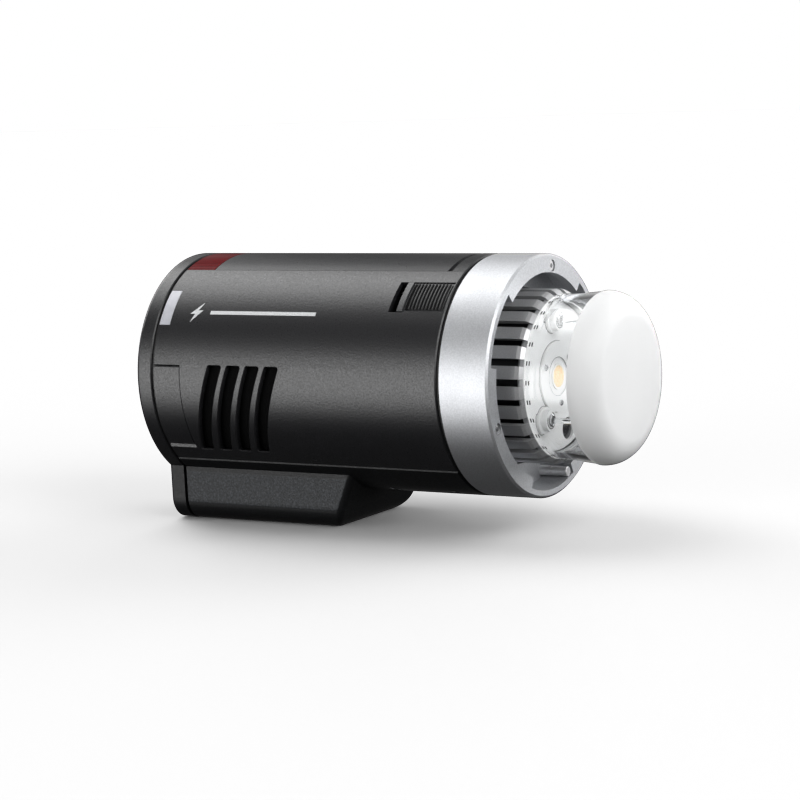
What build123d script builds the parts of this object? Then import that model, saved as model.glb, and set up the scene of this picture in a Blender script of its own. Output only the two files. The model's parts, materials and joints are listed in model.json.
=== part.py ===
from build123d import *
from math import cos, radians, sin
import os

os.makedirs("parts", exist_ok=True)

# A battery-powered monolight: a round barrel lying along Y, its lamp towards -Y, its control
# panel towards +Y, on a flat foot that holds the battery. Millimetres, +Z up, z = 0 is the floor.
# "Stations" are distances along the barrel, from the mount ring's front face towards the rear.
# "Bearings" are angles round the barrel, from its top towards -X.

# Barrel and foot
BARREL_R = 45.0
WALL = 2.0
INNER_R = BARREL_R - WALL
FOOT_DROP = 57.0
FOOT_HALF_W = 27.4
FOOT_CORNER_R = 8.5
FOOT_NOSE_R = 2.6
EDGE = 0.4
FOOT_TOP_STATION = 70.0
FOOT_KNEE_STATION = 76.5
FOOT_SOLE_STATION = 81.5
SEAM_BEARING = 134.4

# Stations of the main sections
DOME_FRONT = -35.4
RING_BACK = 19.8
SHELL_FRONT = 21.3
SHELL_BACK = 147.5
COVER_FRONT = 148.5
COVER_BACK = 155.4
DIAL_PROUD = 4.0
MID_STATION = (DOME_FRONT + COVER_BACK + DIAL_PROUD) / 2

# Mount ring
LIP_BORE_R = 38.2
NOTCH_R = 42.2
NOTCH_HALF_ANGLE = 20.0
NOTCH_BEARINGS = (58.5, 178.5, 298.5)
LIP_DEPTH = 3.6
CHANNEL_R = 42.4
CHANNEL_BACK = 12.0
FLANGE_BACK = 15.0
FLANGE_BORE_R = 33.0
RING_SCREW_R = 40.7
RING_SCREW_BEARINGS = (110.0, 230.0, 350.0)
STOP_PIN_R = 1.85
STOP_PIN_RADIUS = 40.3
STOP_PIN_BEARING = 199.8

# Release slider
SLIDER_BEARING = 43.6
SLIDER_HALF_ANGLE = 9.15
LOCK_PIN_R = 1.5
LOCK_PIN_RADIUS = 39.9

# Lamp
CAGE_R = 32.2
CAGE_INNER_R = 30.6
CAGE_FRONT = -6.7
CAGE_SLOTS = 27
CAGE_SLOT_W = 2.7
GLASS_R = 31.8
GLASS_WALL = 2.2
FROST_EDGE = -25.0
DOME_CORNER_R = 10.1
PLATE_R = 28.0
PLATE_FRONT = -4.2
SOCKET_PLACES = ((-2.0, 21.0), (-11.4, -14.4))
LED_R = 4.8

# Side vents and ports
VENT_TOP_BEARING = 81.2
VENT_LOW_BEARING = 126.2
VENT_COUNT = 4
VENT_PITCH = 8.65
VENT_TOP_W = 6.0
VENT_LOW_W = 5.4
VENT_FIRST = 89.6
VENT_SLANT = 11.7
PORT_FROM = 134.9
PORT_TOP_BEARING = 81.2
PORT_LOW_BEARING = 125.6
FINGER_BEVEL = 1.9
HINGE_BEARING = 82.6
HINGE_R = 44.0
STRIP_HALF_ANGLE = 25.7
STRIP_T = 0.85

# Inside
BOSS_TOP = -39.3
SCREW_SEAT = -41.6
CHASSIS_TOP = -28.8
CHASSIS_T = 1.5
CAPACITOR_R = 14.0
CAPACITOR_L = 56.0
CAPACITOR_FRONT = 64.0
FAN_SIZE = 50.0
FAN_FRONT = 50.0
FAN_T = 10.0
FAN_Z = 7.0

# Battery
BATTERY_HALF_W = 24.2
BATTERY_TOP = -30.6
BATTERY_BOTTOM = -55.0
BATTERY_FRONT = 92.5
BAY_GAP = 0.35

# Control panel
PANEL_FRONT = 150.5
PANEL_BACK = 152.5
DISPLAY_Z = 17.0
DISPLAY_W = 44.0
DISPLAY_H = 29.0
DIAL_Z = -14.0
DIAL_R = 11.0
BUTTON_X = 21.0
BUTTON_ROWS = (-4.5, -14.0, -23.5)
BUTTON_W = 8.0
BUTTON_H = 5.4

# Roof of the rear cover's cut-out over the battery
CAP_ROOF = -30.25

# Bracket thread, a quarter inch insert
INSERT_STATION = 86.5
INSERT_R = 4.6
INSERT_BORE_R = 2.55
INSERT_L = 11.0

AXIS_Z = FOOT_DROP


def y_at(station):
    return station - MID_STATION


def slab(profile, start, end):
    """A cross-section (x right, y up from the barrel's axis) extruded between two stations."""
    plane = Plane(origin=(0, y_at(end), AXIS_Z), x_dir=(1, 0, 0), z_dir=(0, -1, 0))
    return extrude(plane * profile, amount=end - start)


def disc(radius, start, end, x=0, z=0):
    return slab(Pos(x, z) * Circle(radius), start, end)


def tube(outer, inner, start, end, x=0, z=0):
    return disc(outer, start, end, x, z) - disc(inner, start - 1, end + 1, x, z)


def block(x_from, x_to, start, end, z_from, z_to):
    """A box, with its heights measured from the barrel's axis."""
    centre = ((x_from + x_to) / 2, y_at((start + end) / 2), AXIS_Z + (z_from + z_to) / 2)
    return Pos(*centre) * Box(x_to - x_from, end - start, z_to - z_from)


def polar(radius, bearing):
    """Cross-section point at a radius and a bearing."""
    return (-radius * sin(radians(bearing)), radius * cos(radians(bearing)))


def sector(bearing_from, bearing_to, radius=90.0):
    steps = max(2, int((bearing_to - bearing_from) // 40) + 1)
    span = bearing_to - bearing_from
    rim = [polar(radius, bearing_from + span * i / steps) for i in range(steps + 1)]
    return make_face(Polyline((0, 0), *rim, close=True))


def arc_plate(outer, inner, bearing_from, bearing_to, start, end):
    ring = Circle(outer) - Circle(inner)
    return slab(ring & sector(bearing_from, bearing_to), start, end)


def radial_plane(radius, bearing, station):
    """A plane square to the barrel's surface: its z axis points outwards, its x axis rearwards."""
    x, z = polar(radius, bearing)
    out_x, out_z = polar(1, bearing)
    return Plane(origin=(x, y_at(station), AXIS_Z + z), x_dir=(0, 1, 0), z_dir=(out_x, 0, out_z))


def revolved(points):
    """A closed outline of (radius, station) points turned about the barrel's axis."""
    plane = Plane(origin=(0, 0, AXIS_Z), x_dir=(1, 0, 0), z_dir=(0, 0, 1))
    outline = Polyline(*[(r, y_at(s)) for r, s in points], close=True)
    return revolve(plane * make_face(outline), axis=Axis((0, 0, AXIS_Z), (0, 1, 0)))


def mirrored(shape):
    return mirror(shape, about=Plane.YZ)


def coil(length, radius, wire_r, turns, place):
    """A compression spring with its foot at a place, which also turns it."""
    path = Helix(pitch=length / turns, height=length, radius=radius)
    section = Plane(origin=path @ 0, z_dir=path % 0) * Circle(wire_r)
    return place * sweep(section, path=path)


def end_bevel(station, inward):
    """Wedge that breaks the barrel's outer edge at a station; inward is +1 or -1."""
    edge = station - 0.1 * inward
    return revolved([(BARREL_R + 0.3, edge), (BARREL_R - EDGE, edge), (BARREL_R - EDGE, station),
                     (BARREL_R, station + EDGE * inward), (BARREL_R + 0.3, station + EDGE * inward)])


def seam_bevel(bearing, turn):
    """Wedge that breaks a shell's long edge at a bearing; turn is +1 or -1 round the barrel."""
    corners = [polar(BARREL_R - EDGE, bearing - 0.1 * turn), polar(BARREL_R - EDGE, bearing),
               polar(BARREL_R + 0.05, bearing + 0.6 * turn), polar(BARREL_R + 1, bearing - 0.1 * turn)]
    return slab(make_face(Polyline(*corners, close=True)), SHELL_FRONT - 1, SHELL_BACK + 1)


def outer_rim(shape, station_from, station_to):
    """Edges of openings on the barrel's outer surface, between two stations."""
    def on_surface(edge):
        point = edge.position_at(0.5)
        radius = (point.X ** 2 + (point.Z - AXIS_Z) ** 2) ** 0.5
        return abs(radius - BARREL_R) < 0.02 and y_at(station_from) < point.Y < y_at(station_to)
    return shape.edges().filter_by(on_surface)


# Mount ring and release ---------------------------------------------------------------------


def mount_ring():
    ring = chamfer(disc(BARREL_R, 0, RING_BACK).edges().sort_by(Axis.Y)[0], 0.8)
    ring -= disc(LIP_BORE_R, -1, LIP_DEPTH)
    for bearing in NOTCH_BEARINGS:
        first, last = bearing - NOTCH_HALF_ANGLE, bearing + NOTCH_HALF_ANGLE
        ring -= slab(Circle(NOTCH_R) & sector(first, last), -1, LIP_DEPTH)
    ring -= slab(Circle(NOTCH_R) & sector(195.0, STOP_PIN_BEARING + 3.6), -1, LIP_DEPTH)
    channel = disc(CHANNEL_R, LIP_DEPTH, CHANNEL_BACK)
    for bearing in RING_SCREW_BEARINGS:
        channel -= disc(2.7, LIP_DEPTH, CHANNEL_BACK, *polar(RING_SCREW_R, bearing))
    ring -= channel
    ring -= disc(FLANGE_BORE_R, CHANNEL_BACK - 1, RING_BACK + 1)
    ring -= disc(CHANNEL_R, FLANGE_BACK, RING_BACK + 1)
    for bearing in RING_SCREW_BEARINGS:
        place = polar(RING_SCREW_R, bearing)
        ring -= disc(1.35, -1, RING_BACK + 1, *place)
        ring -= disc(2.2, -1, 2.3, *place)
    ring -= disc(LOCK_PIN_R + 0.08, CHANNEL_BACK - 1, RING_BACK + 1, *lock_pin_place())
    return ring - disc(STOP_PIN_R + 0.02, CHANNEL_BACK - 1, RING_BACK, *stop_pin_place())


def lock_pin_place():
    return polar(LOCK_PIN_RADIUS, SLIDER_BEARING)


def ring_screws():
    screws = []
    for bearing in RING_SCREW_BEARINGS:
        place = polar(RING_SCREW_R, bearing)
        head = disc(1.95, 0.4, 2.3, *place) - slab(Pos(*place) * RegularPolygon(0.95, 6), 0, 1.5)
        screws.append(head + disc(1.3, 2.3, 24.0, *place))
    return Compound(children=screws)


def stop_pin_place():
    return polar(STOP_PIN_RADIUS, STOP_PIN_BEARING)


def stop_pin():
    """Steel pin at the lower notch's edge that an accessory's lug stops against."""
    place = stop_pin_place()
    pin = disc(STOP_PIN_R, 0.4, FLANGE_BACK - 0.1, *place)
    pin = chamfer(pin.edges().sort_by(Axis.Y)[0], 0.25)
    return pin - tube(STOP_PIN_R + 1, STOP_PIN_R - 0.3, 6.6, 7.2, *place)


def front_spacer():
    return tube(BARREL_R - 0.8, CHANNEL_R, RING_BACK, SHELL_FRONT)


def front_bulkhead():
    """Plate across the barrel, with a spigot that centres the ring and clamps the cage."""
    plate = disc(42.6, 21.6, 24.6) + disc(CHANNEL_R - 0.2, FLANGE_BACK + 1.5, 22.0)
    plate -= disc(35.0, FLANGE_BACK, 21.6)
    plate -= disc(27.2, 21, 25)
    plate -= disc(LOCK_PIN_R + 0.3, FLANGE_BACK, 25, *lock_pin_place())
    for bearing in RING_SCREW_BEARINGS:
        plate -= disc(1.35, FLANGE_BACK, 25, *polar(RING_SCREW_R, bearing))
    return plate


def slider_carriage():
    low, high = SLIDER_BEARING - SLIDER_HALF_ANGLE, SLIDER_BEARING + SLIDER_HALF_ANGLE
    top = arc_plate(44.5, 42.95, low + 0.45, high - 0.45, 22.35, 41.9)
    lip = arc_plate(45.2, 44.4, low + 0.45, high - 0.45, 39.6, 41.9)
    web = arc_plate(43.2, 42.0, low + 1.2, high - 1.2, 25.6, 41.5)
    flange = arc_plate(42.6, 41.2, low - 2.5, high + 2.5, 25.3, 43.0)
    boss = disc(2.55, 25.3, 31.0, *lock_pin_place())
    return top + lip + web + flange + boss - disc(LOCK_PIN_R + 0.05, 25, 32, *lock_pin_place())


def slider_pad():
    """Ribbed thumb pad bonded on the carriage."""
    low, high = SLIDER_BEARING - SLIDER_HALF_ANGLE + 1.0, SLIDER_BEARING + SLIDER_HALF_ANGLE - 1.0
    pad = arc_plate(44.9, 44.5, low, high, 22.8, 38.9)
    for rib in range(10):
        start = 23.4 + rib * 1.45
        pad += arc_plate(45.6, 44.6, low + 0.5, high - 0.5, start, start + 0.7)
    return pad


def lock_pin():
    return disc(LOCK_PIN_R, 6.2, 31.0, *lock_pin_place())


def slider_spring():
    """Return spring behind the slider, at the length it has when the slider is pulled back."""
    x, z = lock_pin_place()
    place = Pos(x, y_at(31.3), AXIS_Z + z) * Rot(-90, 0, 0)
    return coil(12.4, 0.9, 0.2, 14, place)


# Lamp ---------------------------------------------------------------------------------------


def vent_cage():
    outline = [(PLATE_R + 0.3, CAGE_FRONT), (30.5, CAGE_FRONT), (31.6, -5.4),
               (CAGE_R, -4.1), (CAGE_R, 15.05), (38.0, 15.05), (38.0, 16.45), (CAGE_INNER_R, 16.45),
               (CAGE_INNER_R, -4.9), (PLATE_R + 0.3, -4.9)]
    cage = revolved(outline)
    for i in range(CAGE_SLOTS):
        bearing = 360 * (i + 0.5) / CAGE_SLOTS
        slot = Box(20.0, CAGE_SLOT_W, 4.0)
        cage -= radial_plane(30.35 + 2.0, bearing, 2.0) * slot
    return cage


def lamp_base():
    """White housing behind the glass: the plate, its skirt on three lugs, and a photocell opening."""
    plate = disc(PLATE_R, PLATE_FRONT, PLATE_FRONT + 2.0)
    skirt = tube(PLATE_R, PLATE_R - 1.6, PLATE_FRONT + 1.5, 15.0)
    base = plate + skirt
    for bearing in (0.0, 120.0, 240.0):
        base += arc_plate(CAGE_INNER_R - 0.05, PLATE_R - 0.5, bearing - 7, bearing + 7, 13.0, 15.0)
    base -= disc(4.4, PLATE_FRONT - 1, PLATE_FRONT + 3, 7.3, -20.8)
    for place in SOCKET_PLACES:
        base -= disc(2.6, PLATE_FRONT - 1, PLATE_FRONT + 3, *place)
    base -= disc(6.0, PLATE_FRONT - 1, PLATE_FRONT + 3)
    return base


def led_board():
    return disc(13.1, PLATE_FRONT - 0.8, PLATE_FRONT) - disc(7.2, PLATE_FRONT - 1, PLATE_FRONT - 0.5)


def led_chip():
    return disc(LED_R, PLATE_FRONT - 0.95, PLATE_FRONT - 0.5)


def lamp_heatsink():
    sink = disc(26.0, 15.0, 17.0) + disc(5.8, PLATE_FRONT, 15.5)
    for i in range(9):
        x = -20 + 5 * i
        half = (23.5 ** 2 - x ** 2) ** 0.5 - 0.6
        sink += block(x - 0.5, x + 0.5, 16.5, 33.0, -half, half)
    for place in SOCKET_PLACES:
        sink -= disc(3.4, 14.0, 40.0, *place)
    return sink


def electrode_sockets():
    sockets = []
    for place in SOCKET_PLACES:
        body = disc(4.9, PLATE_FRONT - 1.2, PLATE_FRONT, *place)
        body += disc(3.9, PLATE_FRONT - 3.4, PLATE_FRONT - 1.2, *place)
        body += disc(2.55, PLATE_FRONT, 24.0, *place)
        sockets.append(body - disc(1.3, PLATE_FRONT - 4, 20.0, *place))
    return Compound(children=sockets)


def flash_tube():
    """Ring-shaped flash tube behind the frosted face, with a lead down to each socket."""
    ring_r = (SOCKET_PLACES[0][0] ** 2 + SOCKET_PLACES[0][1] ** 2) ** 0.5 - 2.2
    centre = Pos(0, y_at(-28.4), AXIS_Z)
    ring = centre * Rot(90, 0, 0) * Torus(ring_r, 2.4)
    for x, z in SOCKET_PLACES:
        ring += disc(1.0, -28.0, PLATE_FRONT + 4, x, z)
    return ring


def glass_body():
    foot = CAGE_FRONT - 0.02
    return revolved([(28.3, foot), (30.3, foot), (GLASS_R - 0.1, FROST_EDGE + 0.02),
                     (GLASS_R - GLASS_WALL, FROST_EDGE + 0.02)])


def diffuser_cap():
    outer = disc(GLASS_R, DOME_FRONT, FROST_EDGE)
    outer = fillet(outer.edges().sort_by(Axis.Y)[0], DOME_CORNER_R)
    inner_front = DOME_FRONT + GLASS_WALL
    inner = disc(GLASS_R - GLASS_WALL, inner_front, FROST_EDGE + 5)
    inner = fillet(inner.edges().sort_by(Axis.Y)[0], DOME_CORNER_R - GLASS_WALL)
    return outer - inner


# Shells -------------------------------------------------------------------------------------


def side_vents():
    """Four slanted slots through the barrel's -X side."""
    top = BARREL_R * cos(radians(VENT_TOP_BEARING))
    low = BARREL_R * cos(radians(VENT_LOW_BEARING))
    plane = Plane(origin=(-52, 0, AXIS_Z), x_dir=(0, 1, 0), z_dir=(1, 0, 0))
    slots = []
    for i in range(VENT_COUNT):
        start = VENT_FIRST + VENT_PITCH * i
        corners = [(start, top), (start + VENT_TOP_W, top), (start + VENT_SLANT + VENT_LOW_W, low),
                   (start + VENT_SLANT, low)]
        outline = Polyline(*[(y_at(s), z) for s, z in corners], close=True)
        slot = extrude(plane * make_face(outline), amount=32)
        slots.append(fillet(slot.edges().filter_by(Axis.X), 0.7))
    return slots


def upper_shell():
    shell = arc_plate(BARREL_R, INNER_R, -SEAM_BEARING + 0.2, SEAM_BEARING - 0.2, SHELL_FRONT, SHELL_BACK)
    half = STRIP_HALF_ANGLE
    shell -= arc_plate(50, BARREL_R - STRIP_T, -half, half, SHELL_FRONT - 1, 134.0)
    shell -= arc_plate(50, 40, -half, half, 134.0, SHELL_BACK + 1)
    shell -= arc_plate(50, 40, 41.5, 61.5, 142.0, 147.1)
    low, high = SLIDER_BEARING - SLIDER_HALF_ANGLE, SLIDER_BEARING + SLIDER_HALF_ANGLE
    shell -= arc_plate(50, 40, low, high, 22.0, 45.4)
    for slot in side_vents():
        shell -= slot
        shell -= mirrored(slot)
    vent_from, vent_to = VENT_FIRST - 2, VENT_FIRST + VENT_COUNT * VENT_PITCH + VENT_SLANT
    vent_rims = outer_rim(shell, vent_from, vent_to).filter_by(
        lambda e: 90 > abs(e.position_at(0.5).X) > 33.0)
    shell = chamfer(vent_rims, 0.35)
    shell -= end_bevel(SHELL_FRONT, 1)
    shell -= end_bevel(SHELL_BACK, -1)
    seam = seam_bevel(SEAM_BEARING - 0.2, -1)
    shell = shell - seam - mirrored(seam)
    shell -= arc_plate(50, 40, PORT_TOP_BEARING, PORT_LOW_BEARING - FINGER_BEVEL, PORT_FROM, SHELL_BACK + 1)
    shell -= finger_bevel()
    shell -= disc(0.55, PORT_FROM - 2.0, PORT_FROM + 1, *polar(HINGE_R, HINGE_BEARING))
    spring_rib = arc_plate(INNER_R + 0.2, 37.8, low + 2, high - 2, 47.4, 49.0)
    return shell + spring_rib


def finger_bevel():
    """Wedge along the port opening's lower edge, where a fingernail lifts the cover."""
    bottom = PORT_LOW_BEARING
    corners = [polar(46.0, bottom + 1.1), polar(INNER_R + 0.4, bottom - FINGER_BEVEL),
               polar(46.0, bottom - FINGER_BEVEL - 0.5)]
    return slab(make_face(Polyline(*corners, close=True)), PORT_FROM, SHELL_BACK + 1)


def foot_solid(start, end):
    """The foot's outer form: the block's cross-section behind its slanted front face."""
    section = Pos(0, -(FOOT_DROP + 20) / 2) * Rectangle(2 * FOOT_HALF_W, FOOT_DROP - 20)
    bottom = section.vertices().group_by(Axis.Y)[0]
    body = slab(fillet(bottom, FOOT_CORNER_R), FOOT_TOP_STATION - 5, 160.0)
    side = Plane(origin=(-40, 0, AXIS_Z), x_dir=(0, 1, 0), z_dir=(1, 0, 0))
    points = [(FOOT_TOP_STATION - 4.0, -26.0), (FOOT_TOP_STATION, -36.0), (FOOT_KNEE_STATION, -51.5)]
    sole = (FOOT_SOLE_STATION, -FOOT_DROP)
    to_yz = [(y_at(s), z) for s, z in points]
    nose = Line(to_yz[0], to_yz[1]) + Line(to_yz[1], to_yz[2])
    knee = TangentArc(to_yz[2], (y_at(sole[0]), sole[1]), tangent=Vector(*to_yz[2]) - Vector(*to_yz[1]))
    rest = Polyline((y_at(sole[0]), sole[1]), (y_at(end), -FOOT_DROP), (y_at(end), -26.0), to_yz[0])
    outline = make_face(nose + knee + rest)
    solid = body & extrude(side * outline, amount=80)
    corners = solid.edges().filter_by(lambda e: abs(abs(e.center().X) - FOOT_HALF_W) < 0.1
                                      and e.center().Y < y_at(FOOT_SOLE_STATION))
    solid = fillet(corners.filter_by(lambda e: abs(e.tangent_at(0.5).Z) > 0.5), FOOT_NOSE_R)
    return solid & block(-40, 40, start, end, -60, -20)


def bay_section(half_width, bottom, top, corner):
    section = Pos(0, (bottom + top) / 2) * Rectangle(2 * half_width, top - bottom)
    return fillet(section.vertices().group_by(Axis.Y)[0], corner)


def lower_shell():
    first, last = SEAM_BEARING + 0.2, 360 - SEAM_BEARING - 0.2
    foot = foot_solid(FOOT_TOP_STATION - 4.5, SHELL_BACK) - disc(BARREL_R - 0.5, 60, 160)
    shell = arc_plate(BARREL_R, INNER_R, first, last, SHELL_FRONT, SHELL_BACK) + foot
    shell -= disc(INNER_R, SHELL_FRONT - 1, 160)
    bay = bay_section(BATTERY_HALF_W + BAY_GAP, BATTERY_BOTTOM - BAY_GAP, -20.0, 6.5)
    shell -= slab(bay, BATTERY_FRONT - 1.0, 160.0)
    seam = seam_bevel(first, 1)
    shell = shell - seam - mirrored(seam) - end_bevel(SHELL_FRONT, 1)
    shell -= Pos(0, y_at(INSERT_STATION), INSERT_L / 2) * Cylinder(INSERT_R + 0.05, INSERT_L + 0.1)
    for x, station in belly_screw_places():
        seat = Pos(x, y_at(station), AXIS_Z)
        shell += seat * Pos(0, 0, (BOSS_TOP - 42.0) / 2) * Cylinder(3.6, BOSS_TOP + 42.0)
        shell -= seat * Pos(0, 0, -43.0) * Cylinder(1.4, 10)
        shell -= seat * Pos(0, 0, SCREW_SEAT - 4.0) * Cylinder(2.7, 8)
    return shell


def belly_screw_places():
    return [(x, station) for x in (-13.0, 13.0) for station in (33.0, 60.0)]


def belly_screws():
    screws = []
    for x, station in belly_screw_places():
        seat = Pos(x, y_at(station), AXIS_Z + SCREW_SEAT)
        head = Pos(0, 0, -0.45) * Cylinder(2.4, 0.9) - Pos(0, 0, -0.9) * Box(3.2, 0.7, 0.9)
        screws.append(seat * (head + Pos(0, 0, 4.9) * Cylinder(1.25, 10.0)))
    return Compound(children=screws)


def bracket_insert():
    y = y_at(INSERT_STATION)
    body = Pos(0, y, INSERT_L / 2) * Cylinder(INSERT_R, INSERT_L)
    for height in (3.0, 6.0, 9.0):
        ring = Cylinder(INSERT_R + 1, 0.6) - Cylinder(INSERT_R - 0.4, 0.6)
        body -= Pos(0, y, height) * ring
    return body - Pos(0, y, INSERT_L / 2) * Cylinder(INSERT_BORE_R, INSERT_L + 1)


def top_strip():
    """Inlay along the barrel's top, in two pieces with a dark groove between them."""
    half = STRIP_HALF_ANGLE - 0.2
    front, main = [arc_plate(BARREL_R, BARREL_R - STRIP_T, -half, half, start, end)
                   for start, end in ((SHELL_FRONT, 27.0), (29.0, 133.7))]
    return Compound(children=[front - end_bevel(SHELL_FRONT, 1), main])


def sensor_window():
    half = STRIP_HALF_ANGLE - 0.25
    window = arc_plate(BARREL_R, 43.2, -half, half, 134.1, SHELL_BACK - 0.1)
    return window - end_bevel(SHELL_BACK - 0.1, -1)


def indicator_window():
    return arc_plate(BARREL_R, 43.2, 41.7, 61.3, 142.1, 147.0)


def vent_screens():
    """Fine dark screens behind each side's slots."""
    screen = arc_plate(42.7, 42.0, 78.0, 129.0, 87.5, 134.0)
    return Compound(children=[screen, mirrored(screen)])


# Ports --------------------------------------------------------------------------------------


def port_cover():
    x, z = polar(HINGE_R, HINGE_BEARING)
    low = PORT_LOW_BEARING - FINGER_BEVEL - 0.3
    leaf = arc_plate(BARREL_R, 43.4, HINGE_BEARING + 0.3, low, PORT_FROM + 0.3, SHELL_BACK - 0.3)
    knuckle = disc(0.95, PORT_FROM + 0.3, SHELL_BACK - 0.3, x, z)
    return leaf + knuckle - disc(0.55, 134, 148, x, z)


def port_hinge_pin():
    x, z = polar(HINGE_R, HINGE_BEARING)
    return disc(0.5, PORT_FROM - 1.9, 147.45, x, z)


def port_block():
    body = arc_plate(42.9, 37.0, 85.0, 128.0, 135.2, 147.3)
    for bearing, shape in port_shapes(0.05):
        body -= radial_plane(40.0, bearing, 141.4) * shape
    return body


def port_shapes(gap):
    usb = Box(9.0 + 2 * gap, 3.4 + 2 * gap, 9.0)
    jack = Cylinder(3.4 + gap, 9.0)
    return [(94.0, usb), (112.0, jack)]


def port_sockets():
    """USB-C socket with its tongue, and a 3.5 mm sync jack."""
    usb = Box(9.0, 3.4, 6.0) - Pos(0, 0, 1) * Box(8.2, 2.6, 5.5) + Box(6.8, 0.7, 5.4)
    jack = Cylinder(3.4, 6.0) - Pos(0, 0, 1) * Cylinder(1.8, 6.0)
    (usb_bearing, _), (jack_bearing, _) = port_shapes(0)
    usb = radial_plane(39.6, usb_bearing, 141.4) * usb
    jack = radial_plane(39.6, jack_bearing, 141.4) * jack
    return Compound(children=[usb, jack])


# Inside the barrel --------------------------------------------------------------------------


def chassis():
    """Tray that carries the electronics; its underside is the battery bay's roof."""
    bottom = CHASSIS_TOP - CHASSIS_T
    tray = block(-30.0, 30.0, 26.0, 146.0, bottom, CHASSIS_TOP)
    for x, station in belly_screw_places():
        foot = BOSS_TOP + 0.05
        post = Pos(x, y_at(station), AXIS_Z + (bottom + foot) / 2) * Cylinder(3.2, bottom - foot)
        hole = Pos(x, y_at(station), AXIS_Z - 35) * Cylinder(1.3, 30)
        tray = tray + post - hole
    for x in (-29.2, 29.2):
        tray += block(x - 0.8, x + 0.8, 62.0, 122.0, CHASSIS_TOP - 0.5, CHASSIS_TOP + 5)
    return tray


def capacitor_bank():
    cans = []
    for x in (-14.4, 14.4):
        for z in (CHASSIS_TOP + CAPACITOR_R + 0.05, CHASSIS_TOP + 3 * CAPACITOR_R + 0.5):
            can = disc(CAPACITOR_R, CAPACITOR_FRONT, CAPACITOR_FRONT + CAPACITOR_L, x, z)
            can = fillet(can.edges(), 1.0)
            groove_at = CAPACITOR_FRONT + CAPACITOR_L - 4
            can -= tube(CAPACITOR_R + 1, CAPACITOR_R - 0.6, groove_at, groove_at + 1.2, x, z)
            for pin_x in (-3.0, 3.0):
                can += disc(0.8, CAPACITOR_FRONT - 3.0, CAPACITOR_FRONT + 1, x + pin_x, z)
            cans.append(can)
    return Compound(children=cans)


def main_board():
    board = block(34.0, 35.6, 64.0, 125.0, -21.0, 21.0)
    return board - [Pos(34.8, y_at(s), AXIS_Z + z) * Rot(0, 90, 0) * Cylinder(1.6, 4)
                    for s in (67.5, 121.5) for z in (-17.5, 17.5)]


def driver_board():
    """The flash driver's board on the other side, with its finned switch heat sink."""
    sink = block(-38.6, -35.7, 76.0, 112.0, -12.0, 12.0)
    for i in range(8):
        start = 77.0 + 4.4 * i
        sink -= block(-39.0, -36.7, start, start + 2.6, -13.0, 13.0)
    return Compound(children=[mirrored(main_board()), sink])


def transformer():
    """Two stacked charging transformers: each a ferrite core with a winding through its window."""
    solids = []
    for low in (CHASSIS_TOP, CHASSIS_TOP + 22.5):
        core = block(-17.0, 17.0, 123.4, 139.4, low, low + 22.0)
        core -= block(-11.5, 11.5, 123.0, 140.0, low + 5.0, low + 17.0)
        winding = block(-11.3, 11.3, 122.4, 140.4, low + 5.2, low + 16.8)
        solids += [core, fillet(winding.edges().filter_by(Axis.X), 2.5)]
    return Compound(children=solids)


def fan_frame():
    half = FAN_SIZE / 2
    back = FAN_FRONT + FAN_T
    frame = block(-half, half, FAN_FRONT, back, FAN_Z - half, FAN_Z + half)
    frame = fillet(frame.edges().filter_by(Axis.Y), 3.0) - disc(23.6, FAN_FRONT - 1, back + 1, 0, FAN_Z)
    frame += disc(9.5, FAN_FRONT, FAN_FRONT + 1.4, 0, FAN_Z)
    for i in range(4):
        arm = block(9.0, 24.2, FAN_FRONT, FAN_FRONT + 1.4, -1.0, 1.0)
        spin = Pos(0, 0, AXIS_Z + FAN_Z) * Rot(0, 45 + 90 * i, 0) * Pos(0, 0, -AXIS_Z)
        frame += spin * arm
    frame += disc(1.5, FAN_FRONT + 1, FAN_FRONT + 8.6, 0, FAN_Z)
    for x in (-20.5, 20.5):
        for z in (FAN_Z - 20.5, FAN_Z + 20.5):
            frame -= disc(1.7, FAN_FRONT - 1, back + 1, x, z)
    return frame


def fan_rotor():
    start, end = FAN_FRONT + 1.8, FAN_FRONT + FAN_T - 0.3
    hub = disc(9.2, start, end, 0, FAN_Z)
    blade = Pos(15.6, y_at((start + end) / 2), 0) * Rot(38, 0, 0) * Box(14.0, 7.6, 1.1)
    for i in range(7):
        hub += Pos(0, 0, AXIS_Z + FAN_Z) * Rot(0, 360 * i / 7, 0) * blade
    hub -= disc(1.56, start - 1, end - 0.8, 0, FAN_Z)
    return hub


# Rear end -----------------------------------------------------------------------------------


def rear_gasket():
    ring = tube(BARREL_R - 0.8, 40.5, SHELL_BACK, COVER_FRONT)
    return ring - block(-25.0, 25.0, SHELL_BACK - 1, COVER_FRONT + 1, -60, -30.2)


def rear_cover():
    cover = disc(BARREL_R, COVER_FRONT, COVER_BACK)
    cover = fillet(cover.edges().sort_by(Axis.Y)[-1], 1.3)
    cover -= end_bevel(COVER_FRONT, 1)
    cover -= disc(42.8, PANEL_FRONT, COVER_BACK + 1)
    cover -= disc(40.5, COVER_FRONT - 1, COVER_BACK)
    cover += block(-29.8, 29.8, COVER_FRONT, COVER_BACK - 0.6, CAP_ROOF, -29.25)
    half = FOOT_HALF_W + BAY_GAP
    return cover - block(-half, half, COVER_FRONT - 1, COVER_BACK + 1, -60, CAP_ROOF)


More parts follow.
